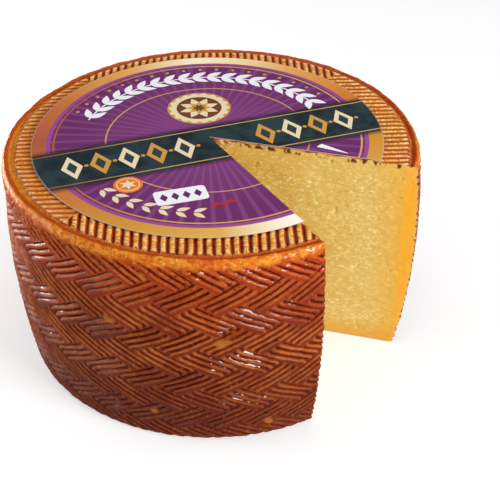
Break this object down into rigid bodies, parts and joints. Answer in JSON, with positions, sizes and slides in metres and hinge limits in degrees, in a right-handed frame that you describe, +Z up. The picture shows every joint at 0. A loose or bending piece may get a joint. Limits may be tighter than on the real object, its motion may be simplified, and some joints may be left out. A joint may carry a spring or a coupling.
{
  "type": "manchego cheese wheel with a wedge cut out",
  "caption": "Whole pressed sheep's-milk cheese with a plaited-belt rind, ridged faces, a wedge-shaped notch and a round purple and gold paper label on top.",
  "frame": {"origin": "middle of the wheel's outline at the height of its base", "axes": "+Z up through the label; the notch opens between +X and -Y, from 62 to 18 degrees clockwise of +X seen from above"},
  "size_m": [0.1944, 0.1946, 0.1014],
  "materials": {
    "cheese_wheel": "waxed orange-brown rind, matt golden paste on the cut faces",
    "paper_label": "coated paper, satin",
    "sticker_corner": "white paper, satin"
  },
  "bodies": {
    "root": {"cheese_wheel": "cheese_wheel", "paper_label": "paper_label", "sticker_corner": "sticker_corner"}
  },
  "joints": []
}
